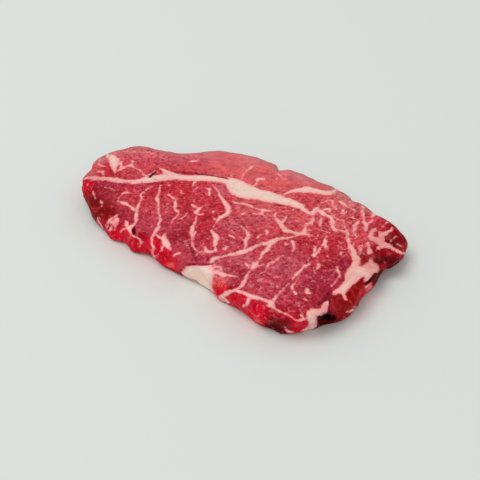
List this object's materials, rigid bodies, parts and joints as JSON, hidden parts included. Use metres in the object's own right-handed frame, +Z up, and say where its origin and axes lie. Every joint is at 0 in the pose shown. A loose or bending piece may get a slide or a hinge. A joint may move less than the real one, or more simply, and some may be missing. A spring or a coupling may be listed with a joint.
{
  "type": "raw chuck eye steak",
  "caption": "Raw chuck eye steak: a flat, roughly oblong cut with rounded edges, swelling muscles, shallow fat seams and a fold in its broad end, lying on its flat underside.",
  "frame": {"origin": "middle of the slice's outline, on its flat underside", "axes": "+X along the slice towards its broad end, +Y across it towards the long cap muscle, +Z up from the underside to the cut face that shows"},
  "size_m": [0.1951, 0.1087, 0.0174],
  "materials": {
    "meat": "moist, softly glossy raw beef with cream-pink fat seams"
  },
  "bodies": {
    "root": {"steak": "meat"}
  },
  "joints": []
}
